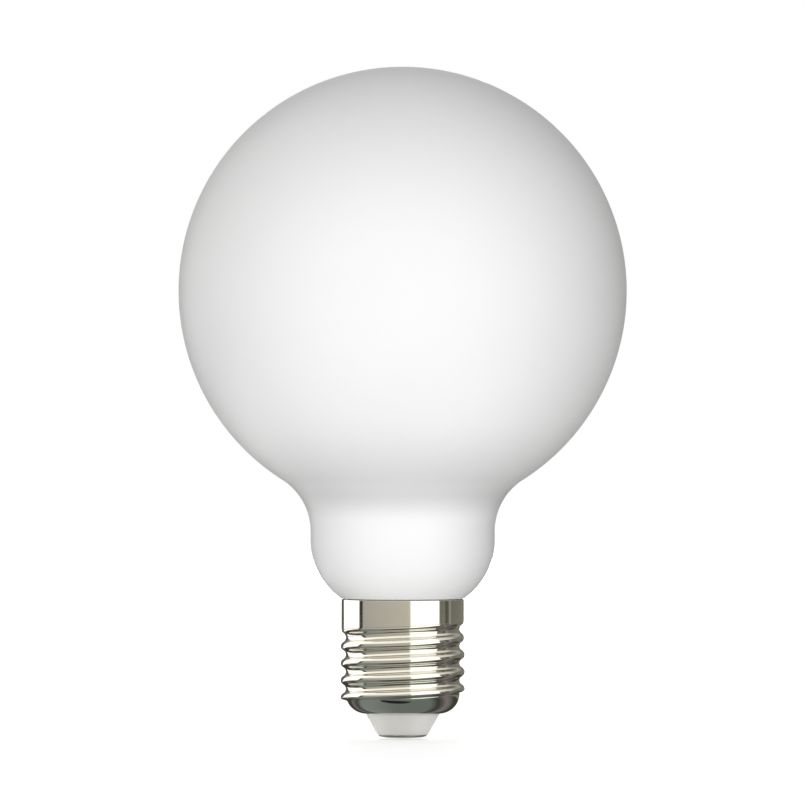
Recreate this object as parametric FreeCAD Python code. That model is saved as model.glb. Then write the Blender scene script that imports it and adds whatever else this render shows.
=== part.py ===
import FreeCAD, Part
import math
import os

# A globe bulb: a blown opal glass globe on a metal screw cap of the 27 mm size.
# Millimetres, +Z up the bulb's own axis, with the cap down.
# The origin is the middle of the centre contact's lowest face, and the front faces -Y.

# Glass, from the top down
globe_diameter = 95.0
flare_radius = 12.73        # hollow round between the globe and the waist
waist_diameter = 39.1
waist_length = 1.8          # straight stretch at the waist
bowl_radius = 15.33         # full round between the waist and the cap
bowl_edge_radius = 0.6      # round where the bowl turns in above the cap's rim
neck_fillet = 0.7           # where the neck goes down into the cap
neck_length = 12.0          # from the cap's rim down to the end of the seal
seal_radius = 3.0           # round at the lower end of the neck
tip_diameter = 5.0          # sealed exhaust tube under the neck
tip_length = 4.5
tip_round = 1.6

# Screw shell, one drawn and rolled sheet
thread_diameter = 26.3      # over the crests
thread_depth = 1.08
thread_pitch = 3.629        # seven threads to the inch
thread_ridges = 4           # below the collar's lower edge
thread_run_out = 80.0       # degrees in which a groove or a ridge rises from nothing
thread_landing = 0.3        # softness of the line where the last ridge meets the shoulder
last_edge_radius = 0.45     # round under the last ridge's crest, sharper than the rolled ones
last_edge_turn = 74.0       # degrees that this round turns in before the ridge runs straight to the shoulder
first_crest_rise = 4.3      # lowest crest above the lip, at the front
sheet = 0.3
collar_step = 0.15          # collar's radius is this much under the crests
collar_length = 5.4         # from its lower edge at the front to the rim
collar_margin = 0.3         # plain collar above the highest point of its lower edge
rim_edge_radius = 0.12
rim_gap = 0.15              # between the rim and the glass
shoulder_radius = 4.2

# Cement ring between the neck and the shell
cement_thickness = 0.47     # between the neck and the shell's bore, which sets the neck's diameter
cement_inset = 1.2          # below the rim
cement_length = 6.5

# Insulator, which plugs the shell's lower opening
insulator_length = 4.5      # from the shell's lip down to its lower face
insulator_band = 0.25       # upright band under the lip, above the cone
insulator_face_diameter = 10.7
insulator_edge_radius = 0.3
insulator_clearance = 0.12  # in the shell's opening
insulator_seat = 0.05       # over the inside of the shoulder
insulator_plug_length = 2.2

# Centre contact, a domed rivet
contact_diameter = 10.1
contact_flat_diameter = 6.4
contact_height = 0.6
contact_edge_height = 0.25
contact_pin_diameter = 2.4
contact_pin_clearance = 0.05
contact_pin_rise = 0.6      # above the insulator's plug

# How closely the thread's surface is given
thread_rows = 16            # in one pitch
last_ridge_rows = 60        # in one pitch, at the last ridge's sharper edge
thread_columns = 72         # in one turn
join_tolerance = 0.0001

# Radii and heights that follow from these
crest_radius = thread_diameter / 2
root_radius = crest_radius - thread_depth
bore_radius = root_radius - sheet
collar_radius = crest_radius - collar_step
lip_radius = root_radius - shoulder_radius
lip_height = contact_height + insulator_length
shoulder_height = lip_height + shoulder_radius
edge_start = lip_height + first_crest_rise + (thread_ridges - 0.5) * thread_pitch
edge_end = edge_start + thread_pitch
rim_height = edge_start + thread_pitch / 2 + collar_length
thread_top = edge_end + collar_margin
thread_bottom = lip_height + shoulder_radius / 3
run_out = math.radians(thread_run_out)
flank_radius = ((thread_pitch / 2) ** 2 + thread_depth**2) / (4 * thread_depth)
neck_radius = bore_radius - cement_thickness

AXIS = FreeCAD.Vector(0, 0, 1)
ORIGIN = FreeCAD.Vector(0, 0, 0)


def point(radius, height):
    """A point of an outline, which is drawn in the half plane behind the axis."""
    return FreeCAD.Vector(0, radius, height)


def line(start, end):
    return Part.makeLine(point(*start), point(*end))


def on_arc(centre, radius, degrees):
    angle = math.radians(degrees)
    return (centre[0] + radius * math.cos(angle), centre[1] + radius * math.sin(angle))


def arc(centre, radius, start, end):
    """An arc of an outline, between two directions in degrees, where 0 points away from the axis."""
    ends = [point(*on_arc(centre, radius, a)) for a in (start, (start + end) / 2, end)]
    return Part.Arc(*ends).toShape()


def direction(start, end):
    return math.degrees(math.atan2(end[1] - start[1], end[0] - start[0]))


def turned(edges):
    """The solid turned by a closed outline."""
    return Part.Face(Part.Wire(edges)).revolve(ORIGIN, AXIS, 360)


# Glass globe with its neck, one blown piece that is sealed and can't be seen into
def make_globe():
    globe_radius = globe_diameter / 2
    waist_radius = waist_diameter / 2
    tip_radius = tip_diameter / 2
    foot = rim_height + rim_gap

    bowl_reach = collar_radius - (waist_radius - bowl_radius)
    bowl = (waist_radius - bowl_radius, foot + math.sqrt(bowl_radius**2 - bowl_reach**2))
    edge_height = foot + bowl_edge_radius
    inner_radius = bowl_radius - bowl_edge_radius
    edge = (bowl[0] + math.sqrt(inner_radius**2 - (bowl[1] - edge_height) ** 2), edge_height)
    flare = (waist_radius + flare_radius, bowl[1] + waist_length)
    between = globe_radius + flare_radius
    globe = (0, flare[1] + math.sqrt(between**2 - flare[0] ** 2))
    fillet = (neck_radius + neck_fillet, foot - neck_fillet)
    seal = (neck_radius - seal_radius, rim_height - neck_length + seal_radius)
    tip_end = rim_height - neck_length - tip_length
    tip = (tip_radius - tip_round, tip_end + tip_round)

    globe_turn = direction(globe, flare)
    bowl_turn = direction(bowl, edge)
    outline = [
        arc(globe, globe_radius, 90, globe_turn),
        arc(flare, flare_radius, globe_turn + 180, 180),
        line((waist_radius, flare[1]), (waist_radius, bowl[1])),
        arc(bowl, bowl_radius, 0, bowl_turn),
        arc(edge, bowl_edge_radius, bowl_turn, -90),
        line((edge[0], foot), (fillet[0], foot)),
        arc(fillet, neck_fillet, 90, 180),
        line((neck_radius, fillet[1]), (neck_radius, seal[1])),
        arc(seal, seal_radius, 0, -90),
        line((seal[0], rim_height - neck_length), (tip_radius, rim_height - neck_length)),
        line((tip_radius, rim_height - neck_length), (tip_radius, tip[1])),
        arc(tip, tip_round, 0, -90),
        line((tip[0], tip_end), (0, tip_end)),
        line((0, tip_end), (0, globe[1] + globe_radius)),
    ]
    return turned(outline)


# Rolled screw shell: collar, knuckle thread, rounded shoulder and open lip
def ease(share):
    """0 to 1 with a level start and end."""
    share = min(1.0, max(0.0, share))
    return share * share * (3 - 2 * share)


def groove(turns):
    """Depth of the knuckle thread's section, 0 at a crest and 1 at a root, made of equal arcs that meet tangent."""
    from_crest = abs(turns - round(turns)) * thread_pitch
    if from_crest <= thread_pitch / 4:
        return (flank_radius - math.sqrt(flank_radius**2 - from_crest**2)) / thread_depth
    from_root = thread_pitch / 2 - from_crest
    return 1 - (flank_radius - math.sqrt(flank_radius**2 - from_root**2)) / thread_depth


def base_radius(height):
    """The shell without its thread: the root cylinder and the rounded shoulder."""
    drop = max(0.0, shoulder_height - height)
    return lip_radius + math.sqrt(shoulder_radius**2 - drop**2)


def last_underside(turns, back):
    """The last ridge's share of the depth under its crest: turned in sharply to the shoulder, or rolled as above it."""
    below = (turns - thread_ridges) * thread_pitch
    turn = math.radians(last_edge_turn)
    reach = last_edge_radius * math.sin(turn)
    drop = last_edge_radius - math.sqrt(last_edge_radius**2 - min(below, reach) ** 2)
    drop += max(0.0, below - reach) * math.tan(turn)
    sharp = 1 - drop / thread_depth
    rolled = 1 - groove(turns) if turns < thread_ridges + 0.5 else sharp
    return sharp + (rolled - sharp) * back


def shell_radius(angle, height):
    """Outside of the shell. The angle runs from the back, anticlockwise from above, as the thread rises."""
    turns = (edge_start + thread_pitch * angle / (2 * math.pi) - height) / thread_pitch
    if turns <= 0:
        return collar_radius
    crest = collar_radius + collar_step * ease((edge_start - height) / thread_pitch)
    depth = crest - root_radius
    if turns <= 1:
        return crest - depth * groove(turns) * ease((2 * math.pi - angle) / run_out)
    if turns <= thread_ridges - 0.5:
        return crest - depth * groove(turns)
    # The last ridge rises from nothing out of the root cylinder and the shoulder
    back = ease((angle - 2 * math.pi + run_out) / run_out)
    base = base_radius(height)
    if turns <= thread_ridges:
        ridge = crest - depth * groove(turns)
    else:
        ridge = root_radius + thread_depth * last_underside(turns, back)
        softness = max(0.0, 1 - abs(ridge - base) / thread_landing)
        ridge = max(ridge, base) + softness**2 * thread_landing / 4 * (1 - back)
    ridge = base + (ridge - base) * ease(angle / run_out)
    return base + (ridge - base) * ease((height - thread_bottom) / thread_landing)


def levels(bottom, top, rows_in_pitch):
    rows = math.ceil((top - bottom) / thread_pitch * rows_in_pitch)
    return [bottom + (top - bottom) * row / rows for row in range(rows + 1)]


def threaded_core():
    """The threaded stretch as a solid: one smooth skin through level sections of the formula, and two flat ends."""
    last_ridge_top = edge_end - (thread_ridges - 0.25) * thread_pitch
    heights = levels(thread_bottom, last_ridge_top, last_ridge_rows)[:-1]
    heights += levels(last_ridge_top, thread_top, thread_rows)
    stations = [column / thread_columns for column in range(thread_columns + 1)]
    sections = []
    for height in heights:
        points = []
        for station in stations[:-1]:
            angle = 2 * math.pi * station
            radius = shell_radius(angle, height)
            points.append(FreeCAD.Vector(-radius * math.sin(angle), radius * math.cos(angle), height))
        section = Part.BSplineCurve()
        section.interpolate(Points=points, Parameters=stations, PeriodicFlag=True)
        sections.append(section)
    surface = Part.BSplineSurface()
    surface.buildFromNSections(sections)
    skin = surface.toShape()
    ends = [Part.Face(Part.Wire(edge)) for edge in skin.Edges if edge.isClosed()]
    closed = Part.makeCompound([skin, *ends])
    closed.sewShape(join_tolerance)
    return Part.Solid(closed.Shells[0])


def make_screw_shell():
    shoulder = (lip_radius, shoulder_height)
    collar_bore = collar_radius - sheet
    step_end = edge_end - (collar_bore - bore_radius)
    rim_round = (collar_radius - rim_edge_radius, rim_height - rim_edge_radius)
    collar = turned([
        line((0, thread_top), (collar_radius, thread_top)),
        line((collar_radius, thread_top), (collar_radius, rim_round[1])),
        arc(rim_round, rim_edge_radius, 0, 90),
        line((rim_round[0], rim_height), (0, rim_height)),
        line((0, rim_height), (0, thread_top)),
    ])
    land = direction(shoulder, (base_radius(thread_bottom), thread_bottom))
    lower_end = turned([
        line((0, thread_bottom), (base_radius(thread_bottom), thread_bottom)),
        arc(shoulder, shoulder_radius, land, -90),
        line((lip_radius, lip_height), (0, lip_height)),
        line((0, lip_height), (0, thread_bottom)),
    ])
    bore = turned([
        line((0, rim_height), (collar_bore, rim_height)),
        line((collar_bore, rim_height), (collar_bore, edge_end)),
        line((collar_bore, edge_end), (bore_radius, step_end)),
        line((bore_radius, step_end), (bore_radius, shoulder_height)),
        arc(shoulder, shoulder_radius - sheet, 0, -90),
        line((lip_radius, lip_height + sheet), (lip_radius, lip_height)),
        line((lip_radius, lip_height), (0, lip_height)),
        line((0, lip_height), (0, rim_height)),
    ])
    blank = threaded_core().fuse([collar, lower_end], join_tolerance)
    return blank.cut(bore, join_tolerance).Solids[0]


# Cement that bonds the neck into the collar
def make_cap_cement():
    top = rim_height - cement_inset
    bottom = top - cement_length
    collar_bore = collar_radius - sheet
    step_end = edge_end - (collar_bore - bore_radius)
    outline = [
        line((neck_radius, bottom), (bore_radius, bottom)),
        line((bore_radius, bottom), (bore_radius, step_end)),
        line((bore_radius, step_end), (collar_bore, edge_end)),
        line((collar_bore, edge_end), (collar_bore, top)),
        line((collar_bore, top), (neck_radius, top)),
        line((neck_radius, top), (neck_radius, bottom)),
    ]
    return turned(outline)


# White insulator: a cone outside the shell and a plug inside its shoulder
def make_insulator():
    opening = lip_radius - insulator_clearance
    plug_round = shoulder_radius - sheet - insulator_seat
    seat_height = lip_height + sheet + insulator_seat
    plug_top = seat_height + insulator_plug_length
    face = (insulator_face_diameter / 2, contact_height)
    pin_bore = contact_pin_diameter / 2 + contact_pin_clearance
    shoulder = (lip_radius, shoulder_height)
    plug_turn = -math.degrees(math.asin((shoulder_height - plug_top) / plug_round))

    cone_top = (opening, lip_height - insulator_band)
    lean = direction(face, cone_top)
    half = math.radians((180 - lean) / 2)
    cut = insulator_edge_radius / math.tan(half)
    edge = (face[0] - cut, face[1] + insulator_edge_radius)
    cone_start = on_arc(edge, insulator_edge_radius, lean - 90)
    outline = [
        line((pin_bore, face[1]), (edge[0], face[1])),
        arc(edge, insulator_edge_radius, -90, lean - 90),
        line(cone_start, cone_top),
        line(cone_top, (opening, seat_height)),
        line((opening, seat_height), (lip_radius, seat_height)),
        arc(shoulder, plug_round, -90, plug_turn),
        line(on_arc(shoulder, plug_round, plug_turn), (pin_bore, plug_top)),
        line((pin_bore, plug_top), (pin_bore, face[1])),
    ]
    return turned(outline)


# Centre contact: a domed head under the insulator and a pin through it
def make_centre_contact():
    flat = contact_flat_diameter / 2
    rim = contact_diameter / 2
    edge_rise = contact_height - contact_edge_height
    dome_radius = ((rim - flat) ** 2 + edge_rise**2) / (2 * edge_rise)
    dome = (flat, dome_radius)
    pin = contact_pin_diameter / 2
    pin_top = lip_height + sheet + insulator_seat + insulator_plug_length + contact_pin_rise
    outline = [
        line((0, 0), (flat, 0)),
        arc(dome, dome_radius, -90, direction(dome, (rim, edge_rise))),
        line((rim, edge_rise), (rim, contact_height)),
        line((rim, contact_height), (pin, contact_height)),
        line((pin, contact_height), (pin, pin_top)),
        line((pin, pin_top), (0, pin_top)),
        line((0, pin_top), (0, 0)),
    ]
    return turned(outline)


pieces = {
    "globe": make_globe(),
    "screw_shell": make_screw_shell(),
    "cap_cement": make_cap_cement(),
    "insulator": make_insulator(),
    "centre_contact": make_centre_contact(),
}
os.makedirs("parts", exist_ok=True)
for name, shape in pieces.items():
    shape.exportStep(f"parts/{name}.step")
    box = shape.BoundBox
    print(f"{name}: volume {shape.Volume:.1f} mm3, valid {shape.isValid()}, z {box.ZMin:.3f} to {box.ZMax:.3f}")
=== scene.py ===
import bpy
import math
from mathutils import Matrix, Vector


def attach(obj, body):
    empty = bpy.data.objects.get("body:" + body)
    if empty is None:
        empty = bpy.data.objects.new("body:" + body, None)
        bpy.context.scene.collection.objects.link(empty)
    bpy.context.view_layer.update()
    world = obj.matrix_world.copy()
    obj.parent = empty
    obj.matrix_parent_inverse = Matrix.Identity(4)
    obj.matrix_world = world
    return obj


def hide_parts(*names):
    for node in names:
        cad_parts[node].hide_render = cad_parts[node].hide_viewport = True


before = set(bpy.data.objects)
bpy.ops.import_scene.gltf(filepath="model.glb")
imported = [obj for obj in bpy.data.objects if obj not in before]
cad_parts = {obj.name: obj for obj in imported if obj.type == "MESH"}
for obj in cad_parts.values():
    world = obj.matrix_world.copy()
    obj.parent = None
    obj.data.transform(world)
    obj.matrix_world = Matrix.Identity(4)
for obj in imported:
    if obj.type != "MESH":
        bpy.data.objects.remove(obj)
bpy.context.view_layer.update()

# Globe
# Opal glass blown in a mould as one bubble: globe, hollow flare, waist and full bowl. The neck goes
# down inside the cap, where it is sealed over the closed exhaust tube. The flare has painted shade.
globe_radius = 47.5
flare_radius = 12.73
waist_radius = 19.55
waist_length = 1.8
bowl_radius = 15.33
bowl_edge_radius = 0.6
glass_foot = 29.466
collar_radius = 13.0
neck_radius = 11.3
neck_fillet = 0.7
neck_end = 17.316
seal_radius = 3.0
tip_radius = 2.5
tip_end = 12.816
tip_round = 1.6
glass_columns = 208
sharp_edge = math.radians(50)


def arc(centre, radius, start, end, steps):
    """An outline's arc between two directions in degrees, where 0 points away from the axis."""
    angles = [math.radians(start + (end - start) * step / steps) for step in range(steps + 1)]
    return [(centre[0] + radius * math.cos(a), centre[1] + radius * math.sin(a)) for a in angles]


def heading(start, end):
    """Direction from one point of an outline to another, in degrees."""
    return math.degrees(math.atan2(end[1] - start[1], end[0] - start[0]))


def rings(outline, columns):
    """Level rings of points through an outline of (distance from the axis, height), in mm."""
    made = []
    for radius, height in outline:
        count = columns if radius > 0 else 1
        angles = [2 * math.pi * column / count for column in range(count)]
        made.append([(-radius * math.sin(a), radius * math.cos(a), height) for a in angles])
    return made


def skin(name, levels, closed=False):
    """A smooth mesh through rings of points in mm. If closed, the last ring joins the first."""
    points = [tuple(value / 1000 for value in point) for level in levels for point in level]
    firsts = [sum(len(level) for level in levels[:row]) for row in range(len(levels))]
    faces = []
    for row in range(len(levels) if closed else len(levels) - 1):
        above = (row + 1) % len(levels)
        low, high = len(levels[row]), len(levels[above])
        for column in range(max(low, high)):
            corners = [
                firsts[row] + column % low,
                firsts[row] + (column + 1) % low,
                firsts[above] + (column + 1) % high,
                firsts[above] + column % high,
            ]
            faces.append(list(dict.fromkeys(corners)))
    mesh = bpy.data.meshes.new(name)
    mesh.from_pydata(points, [], faces)
    mesh.shade_smooth()
    mesh.set_sharp_from_angle(angle=sharp_edge)
    piece = bpy.data.objects.new(name, mesh)
    bpy.context.scene.collection.objects.link(piece)
    return piece


class Wire:
    """A socket in a set of nodes. Sums, differences, products and powers add Math nodes."""

    def __init__(self, tree, socket):
        self.tree = tree
        self.socket = socket

    @classmethod
    def node(cls, tree, kind, settings, inputs, output=0):
        """Adds a node with its settings first, then the values or wires of its sockets.

        Gives the wire of one output, or of none for a node that has none.
        """
        made = tree.nodes.new(kind)
        for setting, value in settings.items():
            if setting == "stops":
                elements = made.color_ramp.elements
                while len(elements) < len(value):
                    elements.new(0.5)
                for element, (position, colour) in zip(elements, value):
                    element.position = position
                    element.color = colour
            else:
                setattr(made, setting, value)
        for name, value in inputs.items():
            if isinstance(value, Wire):
                tree.links.new(value.socket, made.inputs[name])
            else:
                made.inputs[name].default_value = value
        return cls(tree, made.outputs[output] if made.outputs else None)

    def maths(self, operation, first, second):
        """Adds a Math node for two wires or numbers."""
        settings = {"operation": operation}
        return Wire.node(self.tree, "ShaderNodeMath", settings, {0: first, 1: second})

    def __add__(self, other):
        return self.maths("ADD", self, other)

    def __radd__(self, other):
        return self.maths("ADD", other, self)

    def __sub__(self, other):
        return self.maths("SUBTRACT", self, other)

    def __rsub__(self, other):
        return self.maths("SUBTRACT", other, self)

    def __mul__(self, other):
        return self.maths("MULTIPLY", self, other)

    def __rmul__(self, other):
        return self.maths("MULTIPLY", other, self)

    def __pow__(self, other):
        return self.maths("POWER", self, other)

    def __rpow__(self, other):
        return self.maths("POWER", other, self)


def new_finish(name):
    """A new material, its nodes, and the shader among them that the surface uses."""
    material = bpy.data.materials.new(name)
    material.use_nodes = True
    tree = material.node_tree
    return material, tree, tree.nodes["Principled BSDF"]


def millimetres(tree, stretch=(1, 1, 1)):
    """Where the surface is, in millimetres, times a stretch along each axis."""
    place = Wire.node(tree, "ShaderNodeTexCoord", {}, {}, "Object")
    scale = [1000 * share for share in stretch]
    return Wire.node(tree, "ShaderNodeVectorMath", {"operation": "MULTIPLY"}, {0: place, 1: scale})


def noise(place, scale, detail):
    """Cloudy values from 0 to 1, from a place in millimetres."""
    inputs = {"Vector": place, "Scale": scale, "Detail": detail, "Roughness": 0.55}
    return Wire.node(place.tree, "ShaderNodeTexNoise", {}, inputs)


def between(share, first, second):
    """A colour between two. The node's colours are its inputs 6 and 7 and its output 2."""
    inputs = {0: share, 6: first, 7: second}
    return Wire.node(share.tree, "ShaderNodeMix", {"data_type": "RGBA"}, inputs, 2)


def smooth(value, low, high):
    """0 to 1 with a level start and end, as a value goes from low to high."""
    settings = {"interpolation_type": "SMOOTHSTEP"}
    inputs = {"Value": value, "From Min": low, "From Max": high}
    return Wire.node(value.tree, "ShaderNodeMapRange", settings, inputs)


def dressed(shader, colour, roughness, height, depth):
    """Wires a finish's colour and roughness, and its relief of a depth in millimetres."""
    tree = colour.tree
    tree.links.new(colour.socket, shader.inputs["Base Color"])
    tree.links.new(roughness.socket, shader.inputs["Roughness"])
    inputs = {"Strength": 1.0, "Distance": depth / 1000, "Height": height}
    relief = Wire.node(tree, "ShaderNodeBump", {}, inputs)
    tree.links.new(relief.socket, shader.inputs["Normal"])


bowl_reach = collar_radius - (waist_radius - bowl_radius)
bowl = (waist_radius - bowl_radius, glass_foot + math.sqrt(bowl_radius**2 - bowl_reach**2))
edge_height = glass_foot + bowl_edge_radius
edge_reach = math.sqrt((bowl_radius - bowl_edge_radius) ** 2 - (bowl[1] - edge_height) ** 2)
bowl_edge = (bowl[0] + edge_reach, edge_height)
flare = (waist_radius + flare_radius, bowl[1] + waist_length)
globe = (0, flare[1] + math.sqrt((globe_radius + flare_radius) ** 2 - flare[0] ** 2))
globe_turn = heading(globe, flare)
bowl_turn = heading(bowl, bowl_edge)

glass_outline = [(0, tip_end)]
glass_outline += arc((tip_radius - tip_round, tip_end + tip_round), tip_round, -90, 0, steps=10)
glass_outline += [(tip_radius, neck_end)]
seal = (neck_radius - seal_radius, neck_end + seal_radius)
glass_outline += arc(seal, seal_radius, -90, 0, steps=12)
neck_corner = (neck_radius + neck_fillet, glass_foot - neck_fillet)
glass_outline += arc(neck_corner, neck_fillet, 180, 90, steps=6)
glass_outline += arc(bowl_edge, bowl_edge_radius, -90, bowl_turn, steps=8)
glass_outline += arc(bowl, bowl_radius, bowl_turn, 0, steps=56)[1:]
glass_outline += arc(flare, flare_radius, 180, globe_turn + 180, steps=40)
glass_outline += arc(globe, globe_radius, globe_turn, 90, steps=150)[1:-1]
glass_outline += [(0, globe[1] + globe_radius)]
glass_globe = skin("opal_globe", rings(glass_outline, glass_columns))

opal, opal_tree, opal_shader = new_finish("opal_glass")
opal_shader.inputs["IOR"].default_value = 1.45
opal_place = millimetres(opal_tree)
opal_cloud = noise(opal_place, scale=0.045, detail=3)
opal_grain = noise(opal_place, scale=1.4, detail=2)
opal_white = between(opal_cloud, (0.93, 0.93, 0.925, 1), (0.905, 0.91, 0.91, 1))
# Painted shade: the opal's colour turns grey in the flare over the waist, most at about 51 mm up,
# fading up onto the globe's underside.
flare_painted_shade_grey = (0.725, 0.725, 0.725, 1)
opal_height = Wire.node(opal_tree, "ShaderNodeSeparateXYZ", {}, {0: opal_place}, "Z")
over_waist = smooth(opal_height, low=45.6, high=51.4)
under_globe = smooth(opal_height, low=55.0, high=51.2)
under_globe_wide = smooth(opal_height, low=68.0, high=52.0)
in_flare_painted_shade = over_waist * (under_globe * 0.5 + under_globe_wide * 0.5)
opal_colour_and_painted_shade = between(in_flare_painted_shade, opal_white, flare_painted_shade_grey)
opal_rough = 0.4 + opal_cloud * 0.08 + opal_grain * 0.03
dressed(opal_shader, opal_colour_and_painted_shade, opal_rough, opal_grain, depth=0.004)
glass_globe.data.materials.append(opal)
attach(glass_globe, "root")
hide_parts("globe")

# Screw shell
# Thin sheet drawn to a cup, with the knuckle thread rolled into it, then nickel plated.
# The collar round the neck has a rounded rim, and the rounded shoulder ends in an open lip.
crest_radius = 13.15
root_radius = 12.07
thread_pitch = 3.629
thread_ridges = 4
thread_landing = 0.3
collar_landing = 0.3
run_out = math.radians(80)
sheet = 0.3
shoulder_radius = 4.2
lip_radius = root_radius - shoulder_radius
lip_height = 5.1
shoulder_height = lip_height + shoulder_radius
edge_start = 22.1015
edge_end = edge_start + thread_pitch
thread_bottom = lip_height + shoulder_radius / 3
thread_top = edge_end + collar_landing
rim_height = 29.316
thread_depth = crest_radius - root_radius
flank_radius = ((thread_pitch / 2) ** 2 + thread_depth**2) / (4 * thread_depth)
last_edge_radius = 0.45
last_edge_turn = math.radians(74)
rim_edge_radius = 0.12
last_ridge_rows = 124
thread_rows = 184
shoulder_steps = 14
shell_columns = 240


def ease(share):
    """0 to 1 with a level start and end."""
    share = min(1.0, max(0.0, share))
    return share * share * (3 - 2 * share)


def groove(turns):
    """Depth of the knuckle thread: 0 at a crest, 1 at a root, in equal arcs that meet tangent."""
    from_crest = abs(turns - round(turns)) * thread_pitch
    if from_crest <= thread_pitch / 4:
        return (flank_radius - math.sqrt(flank_radius**2 - from_crest**2)) / thread_depth
    from_root = thread_pitch / 2 - from_crest
    return 1 - (flank_radius - math.sqrt(flank_radius**2 - from_root**2)) / thread_depth


def last_underside(turns, back):
    """The last ridge's share of the depth under its crest: turned in, but rolled at the back."""
    below = (turns - thread_ridges) * thread_pitch
    reach = last_edge_radius * math.sin(last_edge_turn)
    drop = last_edge_radius - math.sqrt(last_edge_radius**2 - min(below, reach) ** 2)
    drop += max(0.0, below - reach) * math.tan(last_edge_turn)
    sharp = 1 - drop / thread_depth
    rolled = 1 - groove(turns) if turns < thread_ridges + 0.5 else sharp
    return sharp + (rolled - sharp) * back


def shell_reach(angle, height):
    """Outside of the shell. The angle runs anticlockwise from the back, as the thread rises."""
    turns = (edge_start + thread_pitch * angle / (2 * math.pi) - height) / thread_pitch
    if turns <= 0:
        return collar_radius
    risen = ease((edge_start - height) / thread_pitch)
    crest = collar_radius + (crest_radius - collar_radius) * risen
    depth = crest - root_radius
    if turns <= 1:
        return crest - depth * groove(turns) * ease((2 * math.pi - angle) / run_out)
    if turns <= thread_ridges - 0.5:
        return crest - depth * groove(turns)
    back = ease((angle - 2 * math.pi + run_out) / run_out)
    base = lip_radius + math.sqrt(shoulder_radius**2 - max(0.0, shoulder_height - height) ** 2)
    if turns <= thread_ridges:
        ridge = crest - depth * groove(turns)
    else:
        ridge = root_radius + thread_depth * last_underside(turns, back)
        softness = max(0.0, 1 - abs(ridge - base) / thread_landing)
        ridge = max(ridge, base) + softness**2 * thread_landing / 4 * (1 - back)
    ridge = base + (ridge - base) * ease(angle / run_out)
    return base + (ridge - base) * ease((height - thread_bottom) / thread_landing)


shoulder = (lip_radius, shoulder_height)
shoulder_start = math.degrees(math.asin((thread_bottom - shoulder_height) / shoulder_radius))
collar_bore = collar_radius - sheet
bore_radius = root_radius - sheet
shell_foot = arc(shoulder, shoulder_radius, -90, shoulder_start, shoulder_steps)[:-1]
shell_levels = rings(shell_foot, shell_columns)
last_ridge_top = edge_end - (thread_ridges - 0.25) * thread_pitch
heights = [
    thread_bottom + (last_ridge_top - thread_bottom) * row / last_ridge_rows
    for row in range(last_ridge_rows)
]
heights += [
    last_ridge_top + (thread_top - last_ridge_top) * row / thread_rows
    for row in range(thread_rows + 1)
]
angles = [2 * math.pi * column / shell_columns for column in range(shell_columns)]
for height in heights:
    reaches = [(a, shell_reach(a, height)) for a in angles]
    shell_levels.append([(-r * math.sin(a), r * math.cos(a), height) for a, r in reaches])
rim_edge = (collar_radius - rim_edge_radius, rim_height - rim_edge_radius)
inside = arc(rim_edge, rim_edge_radius, 0, 90, steps=6)
inside += [(collar_bore, rim_height), (collar_bore, edge_end)]
inside += [(bore_radius, edge_end - (collar_bore - bore_radius))]
inside += arc(shoulder, shoulder_radius - sheet, 0, -90, shoulder_steps)
shell_levels += rings(inside, shell_columns)
screw_shell = skin("nickel_screw_shell", shell_levels, closed=True)

nickel, nickel_tree, nickel_shader = new_finish("nickel_plated_brass")
nickel_shader.inputs["Metallic"].default_value = 1.0
drawn_round = (0.12, 0.12, 7)
nickel_lines = noise(millimetres(nickel_tree, drawn_round), scale=1.0, detail=4)
nickel_cloud = noise(millimetres(nickel_tree), scale=0.16, detail=4)
nickel_colour = between(nickel_cloud, (0.76, 0.74, 0.68, 1), (0.68, 0.655, 0.585, 1))
nickel_rough = 0.045 + nickel_lines * 0.05 + nickel_cloud * 0.03
dressed(nickel_shader, nickel_colour, nickel_rough, nickel_lines, depth=0.002)
screw_shell.data.materials.append(nickel)
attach(screw_shell, "root")
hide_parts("screw_shell")

# Cement
# A ring of grey lamp cement, run in between the neck and the collar and baked hard.
# It shows from nowhere once the cap is on.
cement, cement_tree, cement_shader = new_finish("cement")
cement_grit = noise(millimetres(cement_tree), scale=2.2, detail=6)
cement_colour = between(cement_grit, (0.52, 0.49, 0.43, 1), (0.36, 0.33, 0.29, 1))
cement_rough = 0.8 + cement_grit * 0.15
dressed(cement_shader, cement_colour, cement_rough, cement_grit, depth=0.08)
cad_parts["cap_cement"].material_slots[0].material = cement

# Insulator
# A white cone moulded from hard insulation, which is set in the shoulder's open lip.
# It has a satin surface, and light goes a little way into it.
insulation, insulation_tree, insulation_shader = new_finish("white_insulation")
insulation_shader.inputs["Subsurface Weight"].default_value = 0.7
insulation_shader.inputs["Subsurface Radius"].default_value = (1, 0.95, 0.9)
insulation_shader.inputs["Subsurface Scale"].default_value = 0.004
insulation_shader.inputs["Sheen Weight"].default_value = 1.0
insulation_shader.inputs["Sheen Roughness"].default_value = 0.3
insulation_place = millimetres(insulation_tree)
insulation_cloud = noise(insulation_place, scale=0.5, detail=4)
insulation_grain = noise(insulation_place, scale=6.0, detail=3)
insulation_colour = between(insulation_cloud, (0.70, 0.685, 0.66, 1), (0.64, 0.625, 0.60, 1))
insulation_rough = 0.3 + insulation_grain * 0.1
dressed(insulation_shader, insulation_colour, insulation_rough, insulation_grain, depth=0.01)
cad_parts["insulator"].material_slots[0].material = insulation

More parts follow.
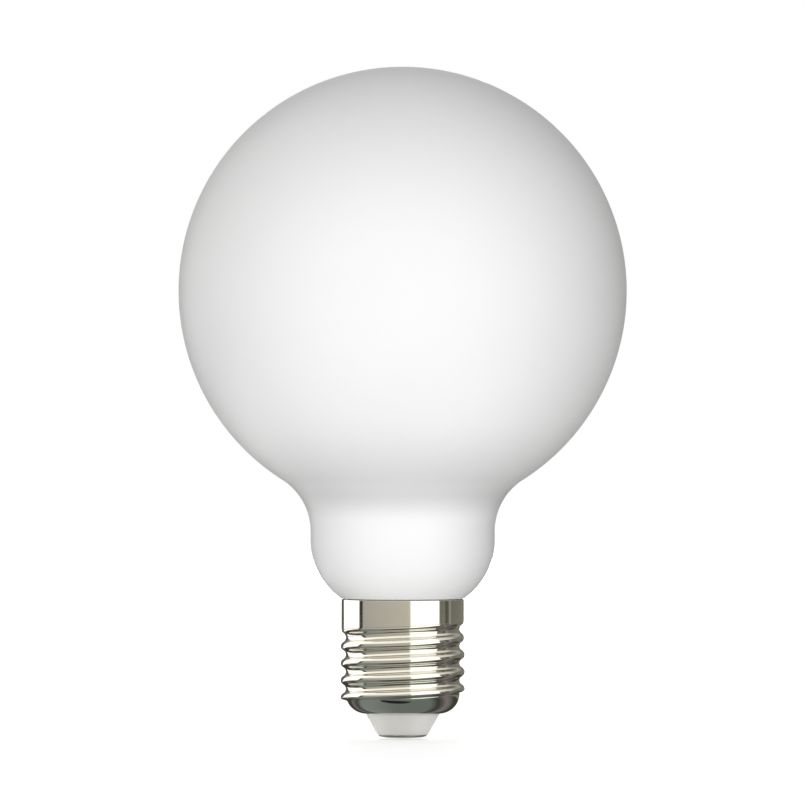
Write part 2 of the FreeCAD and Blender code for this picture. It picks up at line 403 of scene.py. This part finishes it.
# Centre contact
# A domed metal head under the insulator, on a pin through it.
# Its tinning is dull and a little clouded.
contact_metal, contact_tree, contact_shader = new_finish("contact_metal")
contact_shader.inputs["Metallic"].default_value = 1.0
contact_place = millimetres(contact_tree)
contact_cloud = noise(contact_place, scale=0.7, detail=5)
contact_grain = noise(contact_place, scale=8.0, detail=3)
contact_colour = between(contact_cloud, (0.36, 0.35, 0.34, 1), (0.25, 0.24, 0.23, 1))
contact_rough = 0.3 + contact_cloud * 0.2 + contact_grain * 0.08
dressed(contact_shader, contact_colour, contact_rough, contact_grain, depth=0.01)
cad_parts["centre_contact"].material_slots[0].material = contact_metal

# Floor
# A plain pale floor with a glow for the camera alone, stronger with distance, so no edge shows.
# It keeps the bulb's shadow, is clear from below, and doesn't cut off the lamps near its level.
floor_height = -0.4
floor_rings = (3000, 600, 200, 60, 0)
floor = skin("floor", rings([(reach, floor_height) for reach in floor_rings], columns=64))


def stage_tree(piece):
    """An empty set of nodes for something beside the bulb, whose glow lights nothing by itself."""
    paint = bpy.data.materials.new(piece.name)
    paint.use_nodes = True
    paint.node_tree.nodes.clear()
    paint.cycles.emission_sampling = "NONE"
    piece.data.materials.append(paint)
    return paint.node_tree


def metres(tree, axis):
    """Where a point is along one axis, in metres."""
    place = Wire.node(tree, "ShaderNodeTexCoord", {}, {}, "Object")
    return Wire.node(tree, "ShaderNodeSeparateXYZ", {}, {0: place}, axis)


def capped(value):
    """A value that goes no higher than 1."""
    return value.maths("MINIMUM", value, 1)


floor_tree = stage_tree(floor)
floor_x, floor_y = metres(floor_tree, "X"), metres(floor_tree, "Y")
floor_far = capped((floor_x**2 + floor_y**2) ** 0.5 * 2)
camera_ray = Wire.node(floor_tree, "ShaderNodeLightPath", {}, {}, "Is Camera Ray")
floor_pale = (0.85, 0.85, 0.85, 1)
floor_diffuse = Wire.node(floor_tree, "ShaderNodeBsdfDiffuse", {}, {"Color": floor_pale})
floor_strength = camera_ray * (0.55 + floor_far * 0.45)
floor_white = Wire.node(floor_tree, "ShaderNodeEmission", {}, {"Strength": floor_strength})
floor_both = Wire.node(floor_tree, "ShaderNodeAddShader", {}, {0: floor_diffuse, 1: floor_white})
below = Wire.node(floor_tree, "ShaderNodeNewGeometry", {}, {}, "Backfacing")
clear = Wire.node(floor_tree, "ShaderNodeBsdfTransparent", {}, {})
floor_sides = {0: below, 1: floor_both, 2: clear}
floor_seen = Wire.node(floor_tree, "ShaderNodeMixShader", {}, floor_sides)
Wire.node(floor_tree, "ShaderNodeOutputMaterial", {}, {"Surface": floor_seen})
floor.visible_shadow = False

# Studio walls
# What polished metal mirrors: two soft boxes, the room behind the camera, dark flags at the sides,
# and under them a dark table with a paler ring, a slot and a card. Only mirrored rays see these.
wall_radius = 500
wall_foot = -60
wall_top = 1000
table_radius = 400
table_height = -0.2
card_height = -0.1
card_radius = 4.8
slot_radius = 10.8
slot_squash = 0.3
slot_x = -5.8
slot_y = -21.0


def turned(tree):
    """How far round the bulb a point is, from 0 to 1. The camera is at 0.5, and its right more."""
    sideways, nearer = metres(tree, "X"), metres(tree, "Y") * -1
    return sideways.maths("ARCTAN2", sideways, nearer) * (0.5 / math.pi) + 0.5


def ramp(share, stops):
    """A colour from stops of (0 to 1, colour)."""
    settings = {"stops": [(position, (*colour, 1)) for position, colour in stops]}
    return Wire.node(share.tree, "ShaderNodeValToRGB", settings, {0: share})


def round_ramp(turn, stops):
    """A colour for how far round a point is, from stops of (degrees, colour)."""
    return ramp(turn, [((degrees + 180) / 360, colour) for degrees, colour in stops])


def glow(tree, colour):
    """Finishes something that only mirrored rays see, as bright as its colour."""
    shine = Wire.node(tree, "ShaderNodeEmission", {}, {"Color": colour, "Strength": 1.0})
    Wire.node(tree, "ShaderNodeOutputMaterial", {}, {"Surface": shine})


wall_outline = [(wall_radius, wall_foot), (wall_radius, wall_top)]
walls = skin("studio_walls", rings(wall_outline, columns=180))
wall_tree = stage_tree(walls)
wall_stops = [
    (-180.0, (0.20, 0.19, 0.17)),
    (-144.0, (0.10, 0.10, 0.08)),
    (-143.4, (1.7, 1.7, 1.68)),
    (-90.0, (1.7, 1.68, 1.62)),
    (-87.5, (0.04, 0.03, 0.02)),
    (-81.0, (0.04, 0.03, 0.02)),
    (-79.0, (0.50, 0.48, 0.45)),
    (14.0, (0.65, 0.62, 0.54)),
    (14.6, (1.7, 1.68, 1.62)),
    (72.2, (1.7, 1.7, 1.68)),
    (72.8, (0.17, 0.17, 0.14)),
    (84.0, (0.24, 0.24, 0.19)),
    (90.0, (0.08, 0.08, 0.06)),
    (97.5, (0.20, 0.20, 0.17)),
    (98.5, (0.42, 0.42, 0.37)),
    (101.0, (0.40, 0.40, 0.35)),
    (102.0, (0.20, 0.20, 0.17)),
    (150.0, (0.24, 0.24, 0.20)),
    (180.0, (0.20, 0.19, 0.17)),
]
wall_top_stops = [
    (-180.0, (0.50, 0.50, 0.49)),
    (-148.0, (0.55, 0.55, 0.54)),
    (-140.0, (1.7, 1.7, 1.65)),
    (-92.0, (1.7, 1.7, 1.65)),
    (-84.0, (1.3, 1.27, 1.18)),
    (14.0, (1.3, 1.27, 1.18)),
    (15.0, (1.7, 1.7, 1.65)),
    (72.0, (1.7, 1.7, 1.65)),
    (80.0, (1.0, 0.98, 0.90)),
    (110.0, (0.8, 0.78, 0.72)),
    (125.0, (0.38, 0.38, 0.37)),
    (180.0, (0.45, 0.45, 0.44)),
]
wall_turn = turned(wall_tree)
wall_lower = round_ramp(wall_turn, wall_stops)
wall_upper = round_ramp(wall_turn, wall_top_stops)
wall_lift = smooth(metres(wall_tree, "Z"), low=0.14, high=0.24)
glow(wall_tree, between(wall_lift, wall_lower, wall_upper))

table_outline = [(table_radius, table_height), (0, table_height)]
table = skin("dark_table", rings(table_outline, columns=90))
table_tree = stage_tree(table)
table_near_stops = [
    (-180.0, (0.05, 0.05, 0.04)),
    (-124.0, (0.06, 0.06, 0.05)),
    (-114.0, (0.20, 0.20, 0.19)),
    (-98.0, (0.08, 0.09, 0.085)),
    (-92.0, (0.08, 0.09, 0.085)),
    (-80.0, (0.25, 0.285, 0.28)),
    (-50.0, (0.24, 0.275, 0.26)),
    (-15.0, (0.17, 0.20, 0.19)),
    (48.0, (0.165, 0.20, 0.185)),
    (65.0, (0.05, 0.055, 0.05)),
    (75.0, (0.11, 0.10, 0.095)),
    (88.0, (0.24, 0.215, 0.22)),
    (104.0, (0.16, 0.16, 0.165)),
    (118.0, (0.06, 0.06, 0.05)),
    (180.0, (0.05, 0.05, 0.04)),
]
black, white = (0, 0, 0), (1, 1, 1)
table_oval_stops = [
    (0.0, black),
    (0.20, black),
    (0.225, white),
    (0.58, white),
    (0.64, black),
    (0.96, black),
    (1.0, white),
]
table_turn = turned(table_tree)
table_near = round_ramp(table_turn, table_near_stops)
table_far = round_ramp(table_turn, wall_stops)
oval_half_width, oval_half_depth, oval_back, oval_edge = 0.080, 0.043, 0.012, 0.2
oval_x = metres(table_tree, "X") * (1 / oval_half_width)
oval_y = (metres(table_tree, "Y") - oval_back) * (1 / oval_half_depth)
table_share = ramp((oval_x**2 + oval_y**2) ** 0.5 * oval_edge, table_oval_stops)
glow(table_tree, between(table_share, table_near, table_far))

slot_ring = rings([(slot_radius, card_height)], columns=32)[0]
slot_edge = [(x + slot_x, y * slot_squash + slot_y, z) for x, y, z in slot_ring]
slot = skin("dark_slot", [slot_edge, [(slot_x, slot_y, card_height)]])
glow(stage_tree(slot), (0.02, 0.02, 0.02, 1))
card = skin("pale_card", rings([(card_radius, card_height), (0, card_height)], columns=32))
glow(stage_tree(card), (0.7, 0.7, 0.68, 1))
for mirrored in (walls, table, slot, card):
    mirrored.visible_camera = False
    mirrored.visible_diffuse = False
    mirrored.visible_transmission = False
    mirrored.visible_shadow = False


# Lamps and background
# Large soft boxes behind the camera and the bulb, weak ones above and below, in a white surround.
# Two small cards at the sides light only the insulator.
def soft_box(name, place, target, size, power):
    """A round lamp aimed at a target, in metres and watts. Neither camera nor metal sees it."""
    light = bpy.data.lights.new(name, "AREA")
    light.shape = "DISK"
    light.size = size
    light.energy = power
    made = bpy.data.objects.new(name, light)
    bpy.context.scene.collection.objects.link(made)
    made.location = place
    made.rotation_mode = "QUATERNION"
    made.rotation_quaternion = (Vector(target) - Vector(place)).to_track_quat("-Z", "Y")
    made.visible_camera = False
    made.visible_glossy = False
    return made


soft_box("front_soft_box", (-0.05, -1.9, 0.09), (0, 0, 0.09), size=1.0, power=25.1)
soft_box("low_soft_box", (0.0, -0.7, -0.7), (0, 0, 0.03), size=0.5, power=0.5)
soft_box("back_soft_box", (0.0, 1.9, 0.35), (0, 0, 0.07), size=1.0, power=19)
soft_box("top_soft_box", (0.0, 1.05, 1.15), (0, 0, 0.1), size=1.0, power=3.4)
insulator_only = bpy.data.collections.new("insulator_only")
insulator_only.objects.link(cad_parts["insulator"])
cone = (0, 0, 0.003)
left_card = soft_box("left_card", (-0.23, 0.10, 0.0), cone, size=0.1, power=0.42)
right_card = soft_box("right_card", (0.25, 0.02, 0.0), cone, size=0.1, power=0.28)
for side_card in (left_card, right_card):
    side_card.light_linking.receiver_collection = insulator_only

world = bpy.data.worlds.new("white_surround")
bpy.context.scene.world = world
world.use_nodes = True
world_tree = world.node_tree
rays = ("Is Camera Ray", "Is Glossy Ray", "Is Transmission Ray")
seen, glossed, passed = [Wire.node(world_tree, "ShaderNodeLightPath", {}, {}, ray) for ray in rays]
shown = capped(seen + glossed + passed)
surround = 0.29
strength = shown * (1 - surround) + surround
background = world_tree.nodes["Background"]
world_tree.links.new(strength.socket, background.inputs["Strength"])
background.inputs["Color"].default_value = (1, 1, 1, 1)

# Camera
# Level with the middle of the picture and well back, as in the photograph.
# The picture is 170.7 mm wide at the bulb.
camera_distance = 1.7
camera_side = -0.00003
camera_height = 0.07102
picture_width = 0.1707
camera_data = bpy.data.cameras.new("camera")
camera = bpy.data.objects.new("camera", camera_data)
bpy.context.scene.collection.objects.link(camera)
camera_data.sensor_width = 36
camera_data.lens = camera_data.sensor_width * camera_distance / picture_width
camera_data.clip_start = 0.05
camera.location = (camera_side, -camera_distance, camera_height)
camera.rotation_euler = (math.radians(90), 0, 0)
bpy.context.scene.camera = camera

bpy.context.scene.view_settings.view_transform = "Standard"
